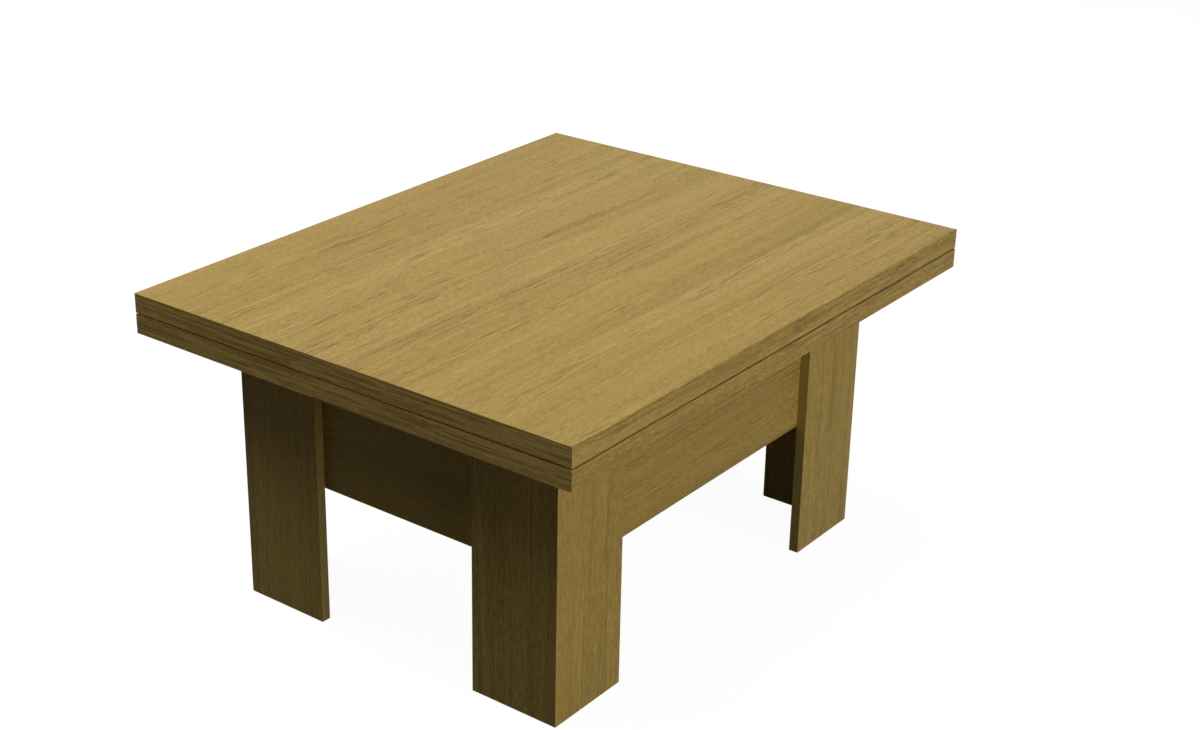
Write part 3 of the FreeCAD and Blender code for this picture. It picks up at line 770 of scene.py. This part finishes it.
def drive(node, body, slot, seed):
    """Put real screws where a frame piece has plain ones, all as big as the first, and count them."""
    found = [screw_place(points) for points in islands(node)]
    radius, run = found[0][2:]
    values = {"Shank": radius, "Length": run, "Seed": seed, "Finish": finish_for_slot[slot]}
    piece = grown(node + "_cut", [screw[:2] for screw in found], screw_tree, values, crisp_angle)
    take_place(piece, node, body)
    print(node, len(found), "screws, triangles:", triangles(piece))
    return len(found)


screw_rows = (
    ("leg_screws", "base", "zinc_steel"),
    ("apron_screws", "base", "zinc_steel"),
    ("base_bracket_screws", "base", "zinc_steel"),
    ("carrier_screws", "top", "zinc_steel"),
    ("lower_hinge_screws", "top", "hinge_brass"),
    ("upper_hinge_screws", "upper_leaf", "hinge_brass"),
)
driven = [drive(*row, seed) for seed, row in enumerate(screw_rows)]
print("screws in all:", sum(driven))

# %% [markdown]
# ## Pivot pins and studs
#
# The arms turn on headed pins, and the springs hang on smaller studs. Such a pin is turned on a lathe
# and its head is pressed to a low dome, so that nothing catches on it. A lathe can only make rings,
# and so does this tree: it stacks short open cones along the axis and welds them into one closed skin.
# The pins are all across the table, and a short one is wider than it is long, so their axis is given.

# %% A lathe for trees
def turned_skin(tree, outline, around):
    """One closed skin from steps of radius and height along the axis."""
    rings = []
    for (wide, start), (next_wide, end) in zip(outline, outline[1:]):
        sizes = {"Vertices": around, "Radius Bottom": wide, "Radius Top": next_wide, "Depth": end - start}
        ring = Wire.node(tree, "GeometryNodeMeshCone", {"fill_type": "NONE"}, sizes)
        rings.append(moved(tree, ring, vector(tree, z=start)))
    joined = Wire.node(tree, "GeometryNodeJoinGeometry", None, {0: rings})
    sockets = {"Geometry": joined, "Distance": touching}
    return Wire.node(tree, "GeometryNodeMergeByDistance", None, sockets)


print("lathe ready")

# %% The pin tree
# The dome in shares of the head's radius and thickness, the end in shank radii
dome = ((0.0, 0.0), (0.35, 0.05), (0.60, 0.17), (0.80, 0.33), (0.92, 0.47), (1.0, 0.66), (1.0, 0.97))
pin_end = ((1.0, 0.18), (0.86, 0.03), (0.0, 0.0))
pin_sides = 28
pin_tree, pin_points, pin_given = geometry_tree("domed_pin", ("Shank", "Length", "Head", "Rise"))
pin_shank, pin_rise = pin_given["Shank"], pin_given["Rise"]
pin_outline = [(pin_given["Head"] * wide, pin_rise * deep) for wide, deep in dome]
pin_outline.append((pin_shank, pin_rise))
pin_outline += [(pin_shank * wide, pin_given["Length"] - pin_shank * back) for wide, back in pin_end]
pin = turned_skin(pin_tree, pin_outline, pin_sides)
close_tree(pin_tree, on_points(pin_tree, pin_points, pin), pin_given["Finish"])
print("pin tree nodes:", len(pin_tree.nodes))

# %% Set the pins
across_table = 1
beyond_shank = 1.1


def head_size(points, head, way, shank):
    """Radius and thickness of a plain pin's head."""
    radius = 0.0
    rise = 0.0
    for point in points:
        deep = (point - head).dot(way)
        wide = (point - head - deep * way).length
        if wide > beyond_shank * shank:
            radius = max(radius, wide)
            rise = max(rise, deep)
    return radius, rise


def set_pins(node, body):
    """Put domed pins where a frame piece has plain ones, all as big as the first."""
    solids = islands(node)
    found = [screw_place(points, across_table) for points in solids]
    head, way, shank, length = found[0]
    radius, rise = head_size(solids[0], head, way, shank)
    values = {"Shank": shank, "Length": length, "Head": radius, "Rise": rise, "Finish": zinc}
    piece = grown(node + "_domed", [pin[:2] for pin in found], pin_tree, values, crisp_angle)
    take_place(piece, node, body)
    head_mm = [round(to_mm * size, 1) for size in (2 * radius, rise)]
    print(node, len(found), "pins, heads wide and high in mm:", head_mm)


set_pins("base_pivot_pins", "base")
set_pins("carrier_pivot_pins", "top")
set_pins("gas_spring_base_studs", "base")
set_pins("gas_spring_arm_studs", "drive_arms")

# %% [markdown]
# ## Spring tubes
#
# The tube of a gas spring is drawn from steel. Its mouth is rolled in over the gland, and a groove
# below the mouth grips the seal. The lathe makes it hollow, since an outline may climb outside and
# come back down inside. Its axis runs from the joint at its foot to the joint at the rod's end.

# %% The tube tree
# Radius and distance from the foot or from the mouth, in outer radii
tube_foot = ((0.0, 0.0), (0.82, 0.01), (0.95, 0.07), (1.0, 0.22))
tube_groove = ((1.0, 1.95), (0.955, 1.85), (0.955, 1.70), (1.0, 1.60))
tube_mouth = ((1.0, 0.26), (0.98, 0.12), (0.94, 0.03), (0.90, 0.0))
tube_lip = 0.04
floor_dish = 0.95
tube_sides = 36
tube_tree, tube_points, tube_given = geometry_tree("spring_tube", ("Outer", "Inner", "Length", "Floor"))
outer, inner, tube_length, tube_floor = [tube_given[label] for label in ("Outer", "Inner", "Length", "Floor")]
tube_outline = [(outer * wide, outer * up) for wide, up in tube_foot]
tube_outline += [(outer * wide, tube_length - outer * down) for wide, down in tube_groove + tube_mouth]
tube_outline += [(inner, tube_length - outer * tube_lip), (inner, tube_floor), (0.0, tube_floor * floor_dish)]
tube = turned_skin(tube_tree, tube_outline, tube_sides)
close_tree(tube_tree, on_points(tube_tree, tube_points, tube), tube_given["Finish"])
print("tube tree nodes:", len(tube_tree.nodes))

# %% Fit the tubes
joint_place = {joint["name"]: Vector(joint["pos_m"]) for joint in frame["joints"]}
tube_way = (joint_place["gas_rod_turn"] - joint_place["gas_cylinder_turn"]).normalized()


def tube_fit(points):
    """The middle of a plain tube's foot, and its sizes."""
    low, high = box_of(points)
    base = joint_place["gas_cylinder_turn"].copy()
    base.y = (low.y + high.y) / 2
    ups = [(point - base).dot(tube_way) for point in points]
    wides = [(point - base - up * tube_way).length for point, up in zip(points, ups)]
    wall_middle = (max(wides) + min(wides)) / 2
    inside = [up for up, wide in zip(ups, wides) if wide < wall_middle]
    sizes = {"Outer": max(wides), "Inner": min(wides)}
    sizes["Length"] = max(ups) - min(ups)
    sizes["Floor"] = min(inside) - min(ups)
    return base + min(ups) * tube_way, sizes


tube_fits = [tube_fit(points) for points in islands("gas_spring_cylinders")]
tube_feet = [(foot, tube_way) for foot, sizes in tube_fits]
# The tubes are alike, so one of them gives the sizes
tube_sizes = tube_fits[-1][1]
tube_values = dict(tube_sizes, Finish=tube_paint)
rolled_tubes = grown("gas_spring_cylinders_rolled", tube_feet, tube_tree, tube_values, crisp_angle)
take_place(rolled_tubes, "gas_spring_cylinders", "gas_cylinders")
print("tubes in mm:", {label: round(to_mm * size, 2) for label, size in tube_sizes.items()})

# %% [markdown]
# ## Felt discs
#
# Felt keeps board from knocking on board: discs on the leg tops, dots between the folded leaves, and
# one on each swinging support. They are punched from a sheet, and the punch leaves a soft, rounded
# rim. The lathe gives that form too, with an outline that is the same on both faces.

# %% The felt tree
# Shares of the disc's radius and thickness
felt_face = [(0.0, 0.0), (0.80, 0.015), (0.90, 0.07), (0.96, 0.18), (1.0, 0.36)]
felt_rim = felt_face + [(wide, 1.0 - up) for wide, up in reversed(felt_face)]
disc_sides = 40
felt_tree, felt_points, felt_given = geometry_tree("felt_disc", ("Radius", "Thick"))
felt_outline = [(felt_given["Radius"] * wide, felt_given["Thick"] * up) for wide, up in felt_rim]
disc = turned_skin(felt_tree, felt_outline, disc_sides)
close_tree(felt_tree, on_points(felt_tree, felt_points, disc), felt_given["Finish"])
print("felt tree nodes:", len(felt_tree.nodes))

# %% Lay the felt
felt_angle = 80
upwards = (0.0, 0.0, 1.0)


def lay_felt(node, body):
    """Put soft discs where a frame piece has plain ones, all as big as the first."""
    boxes = [box_of(points) for points in islands(node)]
    size = boxes[0][1] - boxes[0][0]
    places = []
    for low, high in boxes:
        foot = ((low.x + high.x) / 2, (low.y + high.y) / 2, low.z)
        places.append((foot, upwards))
    values = {"Radius": size.x / 2, "Thick": size.z, "Finish": felt}
    piece = grown(node + "_felt", places, felt_tree, values, felt_angle)
    take_place(piece, node, body)
    print(node, "felt discs:", len(places), "each", round(to_mm * size.x, 1), "mm wide")


lay_felt("rest_pads", "base")
lay_felt("leaf_bumpers", "top")
lay_felt("front_support_pad", "front_support")
lay_felt("back_support_pad", "back_support")

# %% [markdown]
# ## Weld beads
#
# Each cross tube is welded to the inner face of two arms. A weld is a row of small overlapping
# puddles. One smooth ring would look moulded, and setting puddles by hand is slow, so a tree sets
# flattened beads on a circle at each end of the tube.

# %% The weld tree
beads_round = 30
bead_form = (1.0, 0.8, 0.55)
bead_tree, bead_points, bead_given = geometry_tree("weld_bead", ("Ring", "Bead"))
sockets = {"Resolution": beads_round, "Radius": bead_given["Ring"]}
ring = Wire.node(bead_tree, "GeometryNodeCurvePrimitiveCircle", None, sockets)
spots = Wire.node(bead_tree, "GeometryNodeCurveToPoints", {"mode": "EVALUATED"}, {"Curve": ring})
sockets = {"Radius": bead_given["Bead"], "Subdivisions": 2}
puddle = Wire.node(bead_tree, "GeometryNodeMeshIcoSphere", None, sockets)
sockets = {"Points": spots, "Instance": puddle, "Rotation": spots.beside("Rotation"), "Scale": bead_form}
beads = Wire.node(bead_tree, "GeometryNodeInstanceOnPoints", None, sockets)
close_tree(bead_tree, on_points(bead_tree, bead_points, beads), bead_given["Finish"])
print("weld tree nodes:", len(bead_tree.nodes))

# %% Weld the cross tubes
bead_radius = 0.0017
bead_sink = 0.4 * bead_radius
bead_proud = 0.2 * bead_radius
bead_angle = 60
for cross_tube, body in (("drive_cross_tube", "drive_arms"), ("idler_cross_tube", "idler_arms")):
    low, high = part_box(cross_tube)
    middle_x, middle_z = (low[0] + high[0]) / 2, (low[2] + high[2]) / 2
    places = []
    for end, inward in ((low[1], 1.0), (high[1], -1.0)):
        places.append(((middle_x, end + inward * bead_sink, middle_z), (0.0, inward, 0.0)))
    values = {"Ring": (high[0] - low[0]) / 2 + bead_proud, "Bead": bead_radius, "Finish": bar_coat}
    weld = grown(cross_tube + "_welds", places, bead_tree, values, bead_angle)
    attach(weld, body)
    print(weld.name, "triangles:", triangles(weld))

# %% [markdown]
# ## Floor, daylight and lamps
#
# The picture is a cut-out on white, so the floor and the world are white to the camera and to
# mirror-like rays, while other rays see a plain grey floor, which keeps the light on the table
# honest. A real white room could be built, but it would throw too much light back under the top.
# A small part of the white floor is plain paint, so that the table's faint shadow stays on it.

# %% Floor
floor_reach = 14.0
floor_grey = 0.07
shadow_grey = 0.10
floor_glow = 0.955
one_of_them = 0.5


def grey(level):
    """A colour without a tint."""
    return rgb((level, level, level))


def seen(tree):
    """1 for rays from the camera, off shiny things or through glass."""
    light_path = Wire.node(tree, "ShaderNodeLightPath", out="Is Camera Ray")
    added = light_path + light_path.beside("Is Glossy Ray") + light_path.beside("Is Transmission Ray")
    return added > one_of_them


floor_corners = [(x * floor_reach, y * floor_reach, 0.0) for x, y in ((-1, -1), (1, -1), (1, 1), (-1, 1))]
floor_mesh = bpy.data.meshes.new("floor")
floor_mesh.from_pydata(floor_corners, [], [(0, 1, 2, 3)])
floor = bpy.data.objects.new("floor", floor_mesh)
scene.collection.objects.link(floor)
floor_paint = bpy.data.materials.new("floor_paint")
floor_paint.use_nodes = True
tree = floor_paint.node_tree
tree.nodes.clear()
plain = Wire.node(tree, "ShaderNodeBsdfDiffuse", None, {"Color": grey(floor_grey)})
white = Wire.node(tree, "ShaderNodeEmission", None, {"Color": grey(1.0), "Strength": floor_glow})
shaded = Wire.node(tree, "ShaderNodeBsdfDiffuse", None, {"Color": grey(shadow_grey)})
pale = Wire.node(tree, "ShaderNodeAddShader", None, {0: white, 1: shaded})
either = Wire.node(tree, "ShaderNodeMixShader", None, {0: seen(tree), 1: plain, 2: pale})
Wire.node(tree, "ShaderNodeOutputMaterial", None, {"Surface": either})
floor_mesh.materials.append(floor_paint)
print("floor reaches", floor_reach, "m")

# %% World
world_grey = 0.015
world = bpy.data.worlds.new("studio")
scene.world = world
world.use_nodes = True
tree = world.node_tree
tree.nodes.clear()
dim = Wire.node(tree, "ShaderNodeBackground", None, {"Color": grey(world_grey), "Strength": 1.0})
bright = Wire.node(tree, "ShaderNodeBackground", None, {"Color": grey(1.0), "Strength": 1.0})
either = Wire.node(tree, "ShaderNodeMixShader", None, {0: seen(tree), 1: dim, 2: bright})
Wire.node(tree, "ShaderNodeOutputWorld", None, {"Surface": either})
print("world nodes:", len(tree.nodes))

# %% [markdown]
# Three soft lamps stand for the light of the photograph. A large one overhead lights the top and
# falls at a slant on the faces towards the viewer's left. A low one at the side lights the faces on
# the right. A long, low one at the back lifts the legs that stand in the shade under the top. One
# bright sky would be simpler, but it lights all sides alike and the corners would go flat.

# %% Lamps
def soft_lamp(name, place, target, width, height, watts):
    """A rectangle of light that looks at a target."""
    data = bpy.data.lights.new(name, "AREA")
    data.shape = "RECTANGLE"
    data.size = width
    data.size_y = height
    data.energy = watts
    lamp = bpy.data.objects.new(name, data)
    lamp.location = place
    lamp.rotation_euler = (Vector(target) - Vector(place)).to_track_quat("-Z", "Y").to_euler()
    scene.collection.objects.link(lamp)
    return lamp


lamps = [
    soft_lamp("overhead_lamp", place=(-1.35, -0.75, 4.5), target=(0.0, 0.0, 0.5),
              width=4.0, height=4.0, watts=199.0),
    soft_lamp("side_lamp", place=(4.7, -0.2, 2.1), target=(0.3, 0.0, 0.35),
              width=2.2, height=3.0, watts=136.0),
    soft_lamp("rear_lamp", place=(-3.4, 2.6, 0.26), target=(0.0, 0.0, 0.26),
              width=3.0, height=0.45, watts=60.0),
]
print("lamps:", [lamp.name for lamp in lamps])
